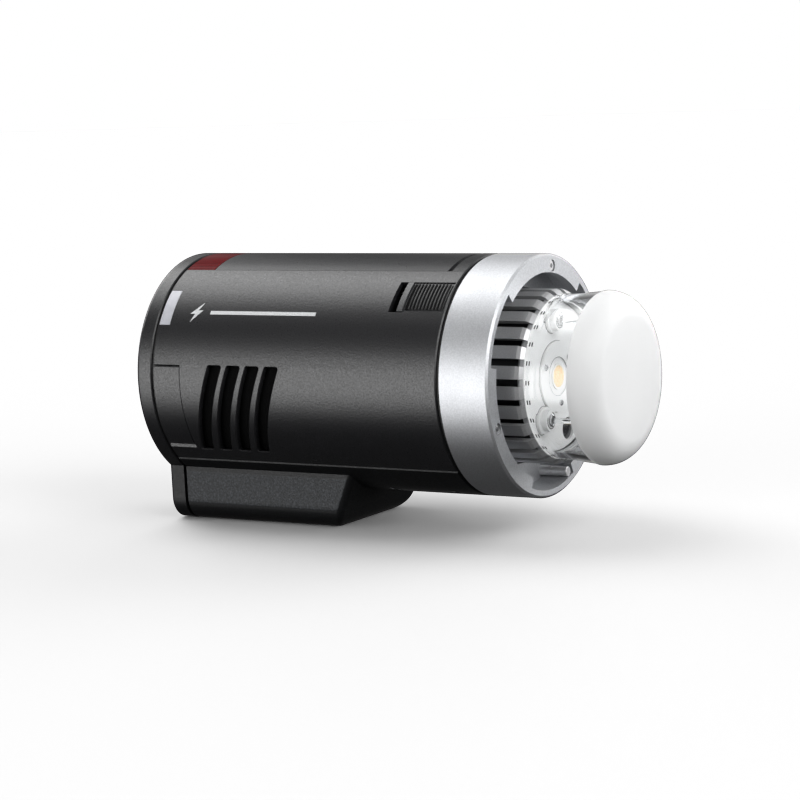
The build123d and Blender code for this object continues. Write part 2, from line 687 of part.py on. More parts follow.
def control_panel():
    panel = disc(42.7, PANEL_FRONT, PANEL_BACK) - block(-50, 50, 150, 153, -50, -29.2)
    panel -= block(-DISPLAY_W / 2, DISPLAY_W / 2, 151.4, 153, DISPLAY_Z - DISPLAY_H / 2,
                   DISPLAY_Z + DISPLAY_H / 2)
    panel -= block(-20.5, 20.5, 150, 153, DISPLAY_Z - 13.0, DISPLAY_Z + 13.0)
    panel -= disc(3.4, 150, 153, 0, DIAL_Z)
    for x, z in button_places():
        panel -= slab(Pos(x, z) * RectangleRounded(BUTTON_W + 0.6, BUTTON_H + 0.6, 1.5), 150, 153)
    return panel


def button_places():
    return [(x, z) for x in (-BUTTON_X, BUTTON_X) for z in BUTTON_ROWS]


def display_window():
    corners = RectangleRounded(DISPLAY_W - 0.3, DISPLAY_H - 0.3, 0.1)
    return slab(Pos(0, DISPLAY_Z) * corners, 151.4, PANEL_BACK)


def display_module():
    return block(-23.0, 23.0, 146.3, 150.4, DISPLAY_Z - 15.6, DISPLAY_Z + 15.6)


def control_board():
    board = disc(36.3, 142.6, 144.2) - block(-50, 50, 142, 145, -50, CHASSIS_TOP + 0.4)
    return board - disc(3.2, 142, 145, 0, DIAL_Z)


def tact_switches():
    switches = []
    for x, z in button_places():
        body = block(x - 3.0, x + 3.0, 144.2, 147.4, z - 2.6, z + 2.6)
        switches.append(body + disc(1.4, 147.3, 148.0, x, z))
    return Compound(children=switches)


def encoder():
    body = block(-6.5, 6.5, 144.2, 149.6, DIAL_Z - 6.5, DIAL_Z + 6.5)
    return body - disc(3.06, 142, 150, 0, DIAL_Z)


def button(x, z):
    cap = slab(Pos(x, z) * RectangleRounded(BUTTON_W, BUTTON_H, 1.2), 149.5, 154.1)
    cap = fillet(cap.edges().group_by(Axis.Y)[-1], 0.45)
    return cap + slab(Pos(x, z) * RectangleRounded(BUTTON_W + 1.6, BUTTON_H + 1.6, 1.6), 148.9, 150.1)


def dial_knob():
    back = COVER_BACK + DIAL_PROUD
    knob = disc(DIAL_R, 153.2, back, 0, DIAL_Z)
    knob = fillet(knob.edges().sort_by(Axis.Y)[-1], 0.8)
    for i in range(30):
        x, z = polar(DIAL_R + 0.15, 360 * i / 30)
        knob -= disc(0.5, 153, back - 1.4, x, DIAL_Z + z)
    knob -= disc(5.4, 155.9, back + 1, 0, DIAL_Z)
    return knob - disc(3.0, 152, 155.0, 0, DIAL_Z)


def dial_shaft():
    return disc(3.0, 143.0, 155.0, 0, DIAL_Z)


def set_button():
    cap = disc(5.0, 156.9, 159.1, 0, DIAL_Z)
    return fillet(cap.edges().sort_by(Axis.Y)[-1], 0.5)


# Battery ------------------------------------------------------------------------------------


def battery_case():
    outer = slab(bay_section(BATTERY_HALF_W, BATTERY_BOTTOM, BATTERY_TOP, 6.2), BATTERY_FRONT, 148.9)
    inner = bay_section(BATTERY_HALF_W - 1.4, BATTERY_BOTTOM + 1.4, BATTERY_TOP - 1.4, 4.8)
    case = outer - slab(inner, BATTERY_FRONT + 1.4, 147.6)
    for x in contact_places():
        case -= block(x - 2.05, x + 2.05, BATTERY_FRONT - 1, BATTERY_FRONT + 0.6, -40.05, -34.0)
    return case


def contact_places():
    return [-12.0 + 8.0 * i for i in range(4)]


def battery_cells():
    """Flat lithium polymer cells stacked in the case."""
    cells = []
    for i in range(4):
        low = -53.4 + 5.25 * i
        half = 18.6 if i == 0 else 22.4
        cell = block(-half, half, 94.4, 147.2, low, low + 5.1)
        cells.append(fillet(cell.edges().filter_by(Axis.Y), 1.5))
    return Compound(children=cells)


def battery_terminals():
    plates = [block(x - 2.0, x + 2.0, BATTERY_FRONT, BATTERY_FRONT + 0.6, -40.0, -34.1)
              for x in contact_places()]
    return Compound(children=plates)


def battery_cap():
    """End cap that closes the foot at the rear and carries the latch button."""
    cap = foot_solid(148.9, COVER_BACK) & block(-40, 40, 148, 160, -60, -31.2)
    cap = fillet(cap.edges().group_by(Axis.Y)[-1], 1.0)
    return cap - latch_pocket()


def latch_pocket():
    outline = Pos(0, -43.0) * RectangleRounded(17.6, 7.6, 1.8)
    return slab(outline, 150.2, 157.0)


def latch_button():
    outline = Pos(0, -43.0) * RectangleRounded(17.0, 7.0, 1.5)
    cap = slab(outline, 152.2, 155.2)
    cap = fillet(cap.edges().group_by(Axis.Y)[-1], 0.5)
    for i in range(4):
        x = -4.5 + 3.0 * i
        cap -= block(x - 0.5, x + 0.5, 154.8, 156, -45.4, -40.6)
    return cap


def bay_contacts():
    """Sprung pins on a bar at the bay's front wall, touching the battery's terminals."""
    bar = block(-17.0, 17.0, 88.0, 90.6, -39.4, CHASSIS_TOP - CHASSIS_T - 0.05)
    pins = [block(x - 0.9, x + 0.9, 90.0, 92.2, -39.2, -35.0) for x in contact_places()]
    return bar + pins


BUTTON_NAMES = ("menu_button", "mode_button", "lamp_button",
                "test_button", "wireless_button", "power_button")

nodes = {
    "mount_ring": mount_ring(),
    "ring_screws": ring_screws(),
    "stop_pin": stop_pin(),
    "front_spacer": front_spacer(),
    "front_bulkhead": front_bulkhead(),
    "slider_carriage": slider_carriage(),
    "slider_pad": slider_pad(),
    "lock_pin": lock_pin(),
    "slider_spring": slider_spring(),
    "vent_cage": vent_cage(),
    "lamp_base": lamp_base(),
    "led_board": led_board(),
    "led_chip": led_chip(),
    "lamp_heatsink": lamp_heatsink(),
    "electrode_sockets": electrode_sockets(),
    "flash_tube": flash_tube(),
    "glass_body": glass_body(),
    "diffuser_cap": diffuser_cap(),
    "upper_shell": upper_shell(),
    "lower_shell": lower_shell(),
    "belly_screws": belly_screws(),
    "bracket_insert": bracket_insert(),
    "top_strip": top_strip(),
    "sensor_window": sensor_window(),
    "indicator_window": indicator_window(),
    "vent_screens": vent_screens(),
    "port_cover": port_cover(),
    "port_hinge_pin": port_hinge_pin(),
    "port_block": port_block(),
    "port_sockets": port_sockets(),
    "chassis": chassis(),
    "capacitor_bank": capacitor_bank(),
    "main_board": main_board(),
    "driver_board": driver_board(),
    "transformer": transformer(),
    "fan_frame": fan_frame(),
    "fan_rotor": fan_rotor(),
    "rear_gasket": rear_gasket(),
    "rear_cover": rear_cover(),
    "control_panel": control_panel(),
    "display_window": display_window(),
    "display_module": display_module(),
    "control_board": control_board(),
    "tact_switches": tact_switches(),
    "encoder": encoder(),
    "dial_knob": dial_knob(),
    "dial_shaft": dial_shaft(),
    "set_button": set_button(),
    "battery_case": battery_case(),
    "battery_cells": battery_cells(),
    "battery_terminals": battery_terminals(),
    "battery_cap": battery_cap(),
    "latch_button": latch_button(),
    "bay_contacts": bay_contacts(),
}
for name, (x, z) in zip(BUTTON_NAMES, button_places()):
    nodes[name] = button(x, z)

for name, shape in nodes.items():
    export_step(shape, f"parts/{name}.step")
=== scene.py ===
import json
from math import cos, hypot, pi, radians, sin

import bmesh
import bpy
from mathutils import Matrix, Vector


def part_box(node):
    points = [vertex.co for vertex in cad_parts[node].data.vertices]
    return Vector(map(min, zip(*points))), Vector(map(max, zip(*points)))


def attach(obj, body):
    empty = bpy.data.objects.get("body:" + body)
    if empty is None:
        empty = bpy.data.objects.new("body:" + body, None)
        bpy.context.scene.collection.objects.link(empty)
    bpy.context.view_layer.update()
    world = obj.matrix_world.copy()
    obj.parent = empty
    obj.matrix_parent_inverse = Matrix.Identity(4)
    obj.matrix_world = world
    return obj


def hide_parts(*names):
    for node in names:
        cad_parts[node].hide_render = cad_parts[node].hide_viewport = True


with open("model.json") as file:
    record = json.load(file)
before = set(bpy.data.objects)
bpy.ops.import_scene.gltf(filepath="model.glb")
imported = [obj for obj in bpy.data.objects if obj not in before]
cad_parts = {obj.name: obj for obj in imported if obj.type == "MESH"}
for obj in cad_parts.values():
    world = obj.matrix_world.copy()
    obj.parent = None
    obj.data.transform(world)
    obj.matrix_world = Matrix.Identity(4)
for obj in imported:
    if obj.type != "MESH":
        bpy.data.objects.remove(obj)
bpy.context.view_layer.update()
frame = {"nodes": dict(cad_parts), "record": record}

# The barrel lies along Y. A station is a distance in millimetres behind the mount ring's front
# face; a bearing is an angle in degrees round the barrel, from its top towards -X. Radii, widths
# and heights are in millimetres from the barrel's axis.
MM = 0.001
ring_low, ring_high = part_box("mount_ring")
AXIS_Z = (ring_low.z + ring_high.z) / 2
RING_FRONT = ring_low.y
BARREL_R = (ring_high.x - ring_low.x) / 2 / MM
PLATE_R = 28.0
SLOT_COUNT = 27
FOOT_HALF_W = 27.4
FOOT_PANEL_TOP = -37.5
PAD_SIDES = (35.95, 51.25)
# Places across and above the axis.
SOCKET_PLACES = {"upper_socket": (-2.0, 21.0), "lower_socket": (-11.4, -14.4)}
BOARD_SCREW_PLACES = ((-9.2, 4.4), (1.2, -9.9), (8.2, 6.0))
PHOTOCELL_PLACE = (7.3, -20.8)


def at(radius, bearing, station):
    """Row-frame point from a radius (mm), a bearing and a station."""
    angle = radians(bearing)
    return Vector((-radius * MM * sin(angle), RING_FRONT + station * MM,
                   AXIS_Z + radius * MM * cos(angle)))


def xyz(x, station, z):
    """Row-frame point from millimetres across, a station, and millimetres above the axis."""
    return Vector((x * MM, RING_FRONT + station * MM, AXIS_Z + z * MM))


def stations(node):
    """Stations of a node's front and back."""
    low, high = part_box(node)
    return (low.y - RING_FRONT) / MM, (high.y - RING_FRONT) / MM


def middle_of(node):
    """Middle of a node's box, across and above the axis."""
    low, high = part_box(node)
    return (low.x + high.x) / 2 / MM, ((low.z + high.z) / 2 - AXIS_Z) / MM


# Materials ----------------------------------------------------------------------------------

# The colour sockets of a Mix node share their names with its other sockets, so they go by number.
MIX_A, MIX_B, MIX_RESULT = 6, 7, 2


class Look:
    """A node material built step by step round one Principled shader."""

    def __init__(self, name, color, roughness=0.5, metallic=0.0, **sockets):
        self.material = bpy.data.materials.new(name)
        self.material.use_nodes = True
        self.tree = self.material.node_tree
        self.shader = self.tree.nodes["Principled BSDF"]
        self.set(Base_Color=(*color, 1.0), Roughness=roughness, Metallic=metallic, **sockets)
        self.coords = self.node("ShaderNodeTexCoord").outputs["Object"]

    def node(self, kind, **values):
        made = self.tree.nodes.new(kind)
        for key, value in values.items():
            setattr(made, key, value)
        return made

    def set(self, **sockets):
        for key, value in sockets.items():
            self.shader.inputs[key.replace("_", " ")].default_value = value
        return self

    def link(self, output, target):
        self.tree.links.new(output, target)

    def math(self, operation, first, second=None):
        """A Math node; its inputs are outputs of other nodes or plain numbers."""
        made = self.node("ShaderNodeMath", operation=operation)
        for socket, value in zip(made.inputs, (first, second)):
            if hasattr(value, "links"):
                self.link(value, socket)
            elif value is not None:
                socket.default_value = value
        return made.outputs["Value"]

    def axes(self):
        split = self.node("ShaderNodeSeparateXYZ")
        self.link(self.coords, split.inputs["Vector"])
        return split.outputs

    def station(self):
        """Millimetres behind the mount ring's front face."""
        return self.math("DIVIDE", self.math("SUBTRACT", self.axes()["Y"], RING_FRONT), MM)

    def radius(self):
        """Millimetres from the barrel's axis."""
        axes = self.axes()
        across = axes["X"]
        height = self.math("SUBTRACT", axes["Z"], AXIS_Z)
        squares = [self.math("MULTIPLY", side, side) for side in (across, height)]
        return self.math("DIVIDE", self.math("SQRT", self.math("ADD", *squares)), MM)

    def step(self, source, edge, soft):
        """0 below an edge, 1 above it."""
        made = self.node("ShaderNodeMapRange")
        made.inputs["From Min"].default_value = edge - soft
        made.inputs["From Max"].default_value = edge + soft
        self.link(source, made.inputs["Value"])
        return made.outputs["Result"]

    def blend_color(self, mask, color):
        """Mix a colour, or a colour output, over the pattern in the base colour where the mask is 1."""
        mix = self.node("ShaderNodeMix", data_type="RGBA")
        self.link(mask, mix.inputs["Factor"])
        base = self.shader.inputs["Base Color"]
        self.link(base.links[0].from_socket, mix.inputs[MIX_A])
        if hasattr(color, "links"):
            self.link(color, mix.inputs[MIX_B])
        else:
            mix.inputs[MIX_B].default_value = (*color, 1.0)
        self.link(mix.outputs[MIX_RESULT], base)
        return self

    def noise(self, scale, detail=2.0, stretch=(1, 1, 1)):
        mapping = self.node("ShaderNodeMapping")
        mapping.inputs["Scale"].default_value = stretch
        self.link(self.coords, mapping.inputs["Vector"])
        noise = self.node("ShaderNodeTexNoise")
        noise.inputs["Scale"].default_value = scale
        noise.inputs["Detail"].default_value = detail
        self.link(mapping.outputs["Vector"], noise.inputs["Vector"])
        return noise.outputs["Fac"]

    def cells(self, scale):
        voronoi = self.node("ShaderNodeTexVoronoi")
        voronoi.inputs["Scale"].default_value = scale
        self.link(self.coords, voronoi.inputs["Vector"])
        return voronoi.outputs["Distance"]

    def ramp(self, source, stops):
        ramp = self.node("ShaderNodeValToRGB")
        elements = ramp.color_ramp.elements
        while len(elements) < len(stops):
            elements.new(0.5)
        for element, (place, color) in zip(elements, stops):
            element.position = place
            element.color = (*color, 1.0)
        self.link(source, ramp.inputs["Fac"])
        return ramp.outputs["Color"]

    def color_from(self, source, stops):
        self.link(self.ramp(source, stops), self.shader.inputs["Base Color"])
        return self

    def roughness_from(self, source, low, high):
        remap = self.node("ShaderNodeMapRange")
        remap.inputs["To Min"].default_value = low
        remap.inputs["To Max"].default_value = high
        self.link(source, remap.inputs["Value"])
        self.link(remap.outputs["Result"], self.shader.inputs["Roughness"])
        return self

    def bump_from(self, source, depth_mm, strength=1.0):
        bump = self.node("ShaderNodeBump")
        bump.inputs["Distance"].default_value = depth_mm * MM
        bump.inputs["Strength"].default_value = strength
        self.link(source, bump.inputs["Height"])
        previous = self.shader.inputs["Normal"]
        if previous.is_linked:
            self.link(previous.links[0].from_socket, bump.inputs["Normal"])
        self.link(bump.outputs["Normal"], previous)
        return self


def scaled(color, factor):
    return tuple(c * factor for c in color)


def grained_plastic(name, color, grain_mm, depth_mm, roughness, contrast=0.35, gloss=0.5):
    """Moulded plastic with a spark-eroded grain that catches the light in fine specks."""
    look = Look(name, color, roughness, Specular_IOR_Level=gloss)
    fine = look.noise(1 / (grain_mm * MM), 3.0)
    look.color_from(fine, [(0.32, scaled(color, 1 - contrast)), (0.5, color),
                           (0.7, scaled(color, 1 + 2.2 * contrast))])
    look.roughness_from(fine, roughness + 0.2, roughness - 0.2)
    return look.bump_from(fine, depth_mm)


def smooth_plastic(name, color, roughness=0.4, contrast=0.12, **sockets):
    """Plain moulding: a faint mottle and a very fine grain."""
    look = Look(name, color, roughness, **sockets)
    look.color_from(look.noise(160.0, 3.0), [(0.3, scaled(color, 1 - contrast)),
                                             (0.7, scaled(color, 1 + contrast))])
    look.roughness_from(look.noise(420.0), roughness - 0.04, roughness + 0.06)
    return look.bump_from(look.noise(2600.0), 0.006)


def satin_metal(name, color, roughness, grain_mm=0.35, depth_mm=0.006, stretch=(1, 1, 1)):
    """Bead-blasted or brushed metal: a fine grain and faint cloudy wear."""
    look = Look(name, color, roughness, metallic=1.0)
    grain = look.noise(1 / (grain_mm * MM), 2.0, stretch)
    look.color_from(grain, [(0.3, scaled(color, 0.9)), (0.7, scaled(color, 1.08))])
    look.roughness_from(look.noise(70.0, 3.0), roughness - 0.05, roughness + 0.05)
    return look.bump_from(grain, depth_mm)


CHARCOAL = (0.0145, 0.0145, 0.0160)
BLACK = (0.006, 0.006, 0.0065)

LOOKS = {
    "barrel_plastic": grained_plastic("barrel_plastic", CHARCOAL, 0.7, 0.060, 0.33, 0.5),
    "strip_plastic": grained_plastic("strip_plastic", (0.016, 0.0165, 0.018), 0.65, 0.040, 0.34, 0.4),
    "foot_plastic": grained_plastic("foot_plastic", (0.008, 0.0083, 0.009), 0.7, 0.016, 0.46, 0.3, 0.22),
    "ring_aluminium": satin_metal("ring_aluminium", (0.60, 0.61, 0.63), 0.54, 0.6, 0.014),
    "cage_metal": satin_metal("cage_metal", (0.58, 0.585, 0.595), 0.38),
    "plain_aluminium": satin_metal("plain_aluminium", (0.66, 0.67, 0.69), 0.30, stretch=(1, 14, 1)),
    "steel": satin_metal("steel", (0.66, 0.66, 0.67), 0.20, 0.25, 0.003),
    "brass": satin_metal("brass", (0.70, 0.50, 0.20), 0.28, 0.25, 0.003),
    "cell_foil": satin_metal("cell_foil", (0.55, 0.57, 0.60), 0.35, 1.2, 0.03),
    "capacitor_sleeve": smooth_plastic("capacitor_sleeve", (0.02, 0.022, 0.035), 0.3),
    "black_plastic": smooth_plastic("black_plastic", BLACK, 0.42),
    "panel_plastic": smooth_plastic("panel_plastic", (0.010, 0.0103, 0.011), 0.46),
    "button_plastic": smooth_plastic("button_plastic", (0.045, 0.046, 0.050), 0.50),
    "black_rubber": smooth_plastic("black_rubber", (0.006, 0.006, 0.0063), 0.60),
    "lamp_white": smooth_plastic("lamp_white", (0.87, 0.873, 0.87), 0.30, 0.012),
    "white_window": smooth_plastic("white_window", (0.55, 0.555, 0.60), 0.28),
    "circuit_board": smooth_plastic("circuit_board", (0.012, 0.11, 0.045), 0.35),
    "ferrite": smooth_plastic("ferrite", (0.05, 0.045, 0.04), 0.5),
    "display_glass": smooth_plastic("display_glass", (0.006, 0.007, 0.010), 0.08, Coat_Weight=0.6),
}
LOOKS["cage_metal"].set(Metallic=0.6)


def red_window():
    """Deep red lens: dark in its body, brighter in its moulded ribs."""
    look = Look("red_window", (0.12, 0.001, 0.003), 0.15, Specular_IOR_Level=0.03)
    bands = look.node("ShaderNodeTexWave", bands_direction="X")
    bands.inputs["Scale"].default_value = 260.0
    look.link(look.coords, bands.inputs["Vector"])
    look.color_from(bands.outputs["Fac"], [(0.2, (0.060, 0.0006, 0.0015)), (0.8, (0.17, 0.002, 0.005))])
    return look.bump_from(bands.outputs["Fac"], 0.03)


def led_phosphor():
    """Cream phosphor under a clear gel, inside a white rim."""
    look = Look("led_phosphor", (0.95, 0.74, 0.34), 0.40, Coat_Weight=0.5)
    dots = look.cells(900.0)
    look.color_from(dots, [(0.2, (1.0, 0.78, 0.42)), (0.7, (0.90, 0.63, 0.27))])
    look.blend_color(look.step(look.radius(), 4.0, 0.25), (0.84, 0.83, 0.80))
    return look.bump_from(dots, 0.02)


def clear_glass():
    look = Look("clear_glass", (0.97, 0.98, 0.985), 0.02, Transmission_Weight=1.0, IOR=1.46)
    return look.bump_from(look.noise(60.0), 0.01, 0.15)


def frosted_glass():
    """Sand-blasted glass: white, with light scattering through it."""
    look = Look("frosted_glass", (0.90, 0.905, 0.91), 0.48, Subsurface_Weight=0.35, IOR=1.46)
    look.set(Subsurface_Radius=(0.012, 0.012, 0.012), Subsurface_Scale=1.0)
    frost = look.noise(3200.0, 3.0)
    look.color_from(look.noise(45.0), [(0.3, (0.885, 0.89, 0.895)), (0.7, (0.915, 0.92, 0.925))])
    return look.bump_from(frost, 0.006)


def painted_shade_mesh():
    """A fine mesh painted near-black, as painted shade for the deep dark behind the side vents."""
    look = Look("painted_shade_mesh", (0.0015, 0.0015, 0.0016), 0.9, Specular_IOR_Level=0.12)
    weave = look.cells(1600.0)
    look.color_from(weave, [(0.25, (0.0008, 0.0008, 0.0009)), (0.7, (0.003, 0.003, 0.0032))])
    return look.bump_from(weave, 0.05)


def print_ink():
    """Pale screen-printed ink for marks."""
    look = Look("print_ink", (0.72, 0.73, 0.74), 0.5)
    look.color_from(look.noise(2400.0, 2.0), [(0.3, (0.66, 0.67, 0.68)), (0.7, (0.76, 0.77, 0.78))])
    return look.bump_from(look.noise(5000.0), 0.004)


LOOKS["red_window"] = red_window()
LOOKS["led_phosphor"] = led_phosphor()
LOOKS["clear_glass"] = clear_glass()
LOOKS["frosted_glass"] = frosted_glass()
PAINTED_SHADE_MESH = painted_shade_mesh()
PRINT_INK = print_ink()
DARK_LENS = smooth_plastic("dark_lens", (0.004, 0.004, 0.006), 0.08, Coat_Weight=0.8)
RIB_RUBBER = smooth_plastic("rib_rubber", (0.010, 0.010, 0.0105), 0.30)


def paint_shade_on_lamp_skirt(look):
    """Painted shade: the white plate's skirt, which shows only through the cage's slots, is coloured
    near-black.
    """
    behind = look.step(look.station(), stations("lamp_base")[0] + 1.2, 0.15)
    outside = look.step(look.radius(), PLATE_R - 1.8, 0.1)
    return look.blend_color(look.math("MULTIPLY", behind, outside), (0.006, 0.006, 0.0065))


def foot_panels(look):
    """The foot's flanks carry a coarse bluish pebble grain; its edges, nose and end cap stay smooth."""
    axes = look.axes()
    side = look.step(look.math("ABSOLUTE", axes["X"]), (FOOT_HALF_W - 0.1) * MM, 0.05 * MM)
    low = look.math("SUBTRACT", 1.0, look.step(axes["Z"], AXIS_Z + FOOT_PANEL_TOP * MM, 0.2 * MM))
    before_cap = look.math("SUBTRACT", 1.0, look.step(look.station(), stations("lower_shell")[1], 0.2))
    mask = look.math("MULTIPLY", look.math("MULTIPLY", side, low), before_cap)
    grain = look.noise(1 / (0.85 * MM), 2.0)
    coarse = look.ramp(grain, [(0.3, (0.007, 0.008, 0.0092)), (0.5, (0.017, 0.019, 0.022)),
                               (0.72, (0.045, 0.050, 0.057))])
    look.blend_color(mask, coarse)
    return look.bump_from(look.math("MULTIPLY", grain, mask), 0.09)


foot_panels(LOOKS["foot_plastic"])

# Nodes that look unlike the rest of their slot.
OWN_LOOKS = {
    # Painted shade: the vent screens wear the near-black look that stands for the dark inside the vents.
    "vent_screens": PAINTED_SHADE_MESH,
    # Painted highlight: the pin's steel is made lighter and partly diffuse, so that it shows bright in the
    # ring's shade.
    "stop_pin": satin_metal("highlight_painted_steel", (0.90, 0.90, 0.91), 0.30, 0.25, 0.002).set(Metallic=0.7),
    "slider_carriage": grained_plastic("carriage_plastic", (0.045, 0.0455, 0.048), 0.5, 0.02, 0.36),
    "belly_screws": satin_metal("black_steel", (0.025, 0.025, 0.027), 0.45, 0.25, 0.003),
    "lamp_base": paint_shade_on_lamp_skirt(smooth_plastic("lamp_base", (0.87, 0.873, 0.87), 0.30, 0.012)),
}

for entry in frame["record"]["subparts"]:
    node = frame["nodes"][entry["node"]]
    look = OWN_LOOKS.get(entry["node"], LOOKS[entry["material_slot"]])
    node.data.materials.clear()
    node.data.materials.append(look.material)


# Mesh helpers -------------------------------------------------------------------------------

MERGE = 0.002 * MM


def finish_piece(name, mesh, body, slot, smooth_angle=35.0, replaced=(), look=None):
    """Make a mesh an object with its look, which is its slot's unless another is given, and its body; hide
    the nodes that it replaces.
    """
    piece = bpy.data.objects.new(name, mesh)
    bpy.context.scene.collection.objects.link(piece)
    mesh.materials.append((look or LOOKS[slot]).material)
    bpy.context.view_layer.objects.active = piece
    for polygon in mesh.polygons:
        polygon.use_smooth = True
    mesh.set_sharp_from_angle(angle=radians(smooth_angle))
    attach(piece, body)
    for cad_node in replaced:
        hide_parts(cad_node)
    return piece


def lathe(name, outline, body, slot, steps=192, centre=(0.0, 0.0), **options):
    """Turn a closed outline of (radius mm, station) points about a line along the barrel."""
    mesh = bpy.data.meshes.new(name)
    shift = Vector((centre[0] * MM, 0, centre[1] * MM))
    points = [at(r, 360 * i / steps, s) + shift for i in range(steps) for r, s in outline]
    count = len(outline)
    faces = []
    for i in range(steps):
        near, far = i * count, (i + 1) % steps * count
        for j in range(count):
            k = (j + 1) % count
            faces.append((near + j, near + k, far + k, far + j))
    mesh.from_pydata(points, [], faces)
    weld(mesh)
    return finish_piece(name, mesh, body, slot, **options)


def sweep(name, outline, bearing_from, bearing_to, body, slot, steps=24, **options):
    """Sweep a closed outline of (radius mm, station) points round the axis between two bearings."""
    mesh = bpy.data.meshes.new(name)
    turns = [bearing_from + (bearing_to - bearing_from) * i / steps for i in range(steps + 1)]
    points = [at(r, turn, s) for turn in turns for r, s in outline]
    count = len(outline)
    faces = [tuple(range(count)), tuple(range(steps * count, (steps + 1) * count))[::-1]]
    for i in range(steps):
        near, far = i * count, (i + 1) * count
        faces += [(near + j, near + (j + 1) % count, far + (j + 1) % count, far + j)
                  for j in range(count)]
    mesh.from_pydata(points, [], faces)
    weld(mesh)
    return finish_piece(name, mesh, body, slot, **options)


def marks(name, outlines, place, body, slot, look=None, height=0.06):
    """Raised flat marks: closed outlines of (u, v) points in mm, put in place by place(u, v, lift)."""
    mesh = bpy.data.meshes.new(name)
    points, faces = [], []
    for outline in outlines:
        first, count = len(points), len(outline)
        top = first + count
        points += [place(u, v, -0.05) for u, v in outline] + [place(u, v, height) for u, v in outline]
        faces += [tuple(range(first, top))[::-1], tuple(range(top, top + count))]
        faces += [(first + j, first + (j + 1) % count, top + (j + 1) % count, top + j)
                  for j in range(count)]
    mesh.from_pydata(points, [], faces)
    weld(mesh)
    return finish_piece(name, mesh, body, slot, look=look)


def weld(mesh):
    """Merge points that meet and turn every face outwards."""
    made = bmesh.new()
    made.from_mesh(mesh)
    bmesh.ops.remove_doubles(made, verts=made.verts, dist=MERGE)
    bmesh.ops.dissolve_degenerate(made, edges=made.edges, dist=MERGE)
    bmesh.ops.recalc_face_normals(made, faces=made.faces)
    made.to_mesh(mesh)
    made.free()


def arc(centre_r, centre_s, radius, start_deg, end_deg, steps):
    """Points on a circular arc in the (radius, station) plane."""
    angles = [radians(start_deg + (end_deg - start_deg) * i / steps) for i in range(steps + 1)]
    return [(centre_r + radius * cos(a), centre_s + radius * sin(a)) for a in angles]


# Lamp ---------------------------------------------------------------------------------------


def build_dome():
    """Frosted cap: a rounded glass cup with a barely crowned face."""
    front, edge = stations("diffuser_cap")
    low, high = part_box("diffuser_cap")
    radius = (high.x - low.x) / 2 / MM
    wall, corner, crown = 2.2, 10.1, 0.6
    face, flat_r = front + crown, radius - corner
    outer = [(radius, edge)] + arc(flat_r, face + corner, corner, 0, -90, 18)
    outer += [(flat_r * k / 8, face - crown * (1 - (k / 8) ** 2)) for k in range(7, -1, -1)]
    inner = [(0.0, face + wall)] + [(flat_r * k / 6, face + wall) for k in range(1, 6)]
    inner += arc(flat_r, face + corner, corner - wall, -90, 0, 14) + [(radius - wall, edge)]
    dome = lathe("frosted_dome", outer + inner, "housing", "frosted_glass", replaced=["diffuser_cap"])
    dome.visible_shadow = False


def build_glass():
    """Clear wall under the frosted cap, flaring forwards from a stepped foot."""
    front, back = stations("glass_body")
    top_r, foot_r, foot_inner_r, foot_height, wall = 31.6, 30.2, 28.4, 1.6, 2.1
    flare = [(foot_r + (top_r - foot_r) * (k / 8) ** 1.3,
              back - foot_height + (front - back + foot_height) * k / 8) for k in range(9)]
    outline = [(foot_inner_r, back), (foot_r + 0.15, back), (foot_r + 0.2, back - 0.9)] + flare
    outline += [(r - wall, s) for r, s in reversed(flare)] + [(foot_inner_r, back - 0.5)]
    glass = lathe("glass_wall", outline, "housing", "clear_glass", replaced=["glass_body"],
                  smooth_angle=40)
    glass.visible_shadow = False


def on_front(station):
    """Placing rule for marks round the axis on a face that looks forwards: u to +X, v up."""
    return lambda u, v, lift: xyz(u, station - lift, v)


def bar_mark(u_from, u_to, v_from, v_to):
    return [(u_from, v_from), (u_to, v_from), (u_to, v_to), (u_from, v_to)]


def ring_marks(radius, width, steps=48, start=0.0, end=360.0):
    """A band along a circle, as quads: a whole ring, or part of one."""
    turns = [radians(start + (end - start) * i / steps) for i in range(steps + 1)]
    edges = [[(r * sin(turn), r * cos(turn)) for r in (radius, radius + width)] for turn in turns]
    return [[a_in, a_out, b_out, b_in] for (a_in, a_out), (b_in, b_out) in zip(edges, edges[1:])]


def spoke_mark(turn_deg, inner_r, outer_r, half_width):
    """A bar that points away from a centre; the turn is clockwise from straight up."""
    turn = radians(turn_deg)
    corners = ((inner_r, -half_width), (outer_r, -half_width), (outer_r, half_width), (inner_r, half_width))
    return [(r * sin(turn) + w * cos(turn), r * cos(turn) - w * sin(turn)) for r, w in corners]


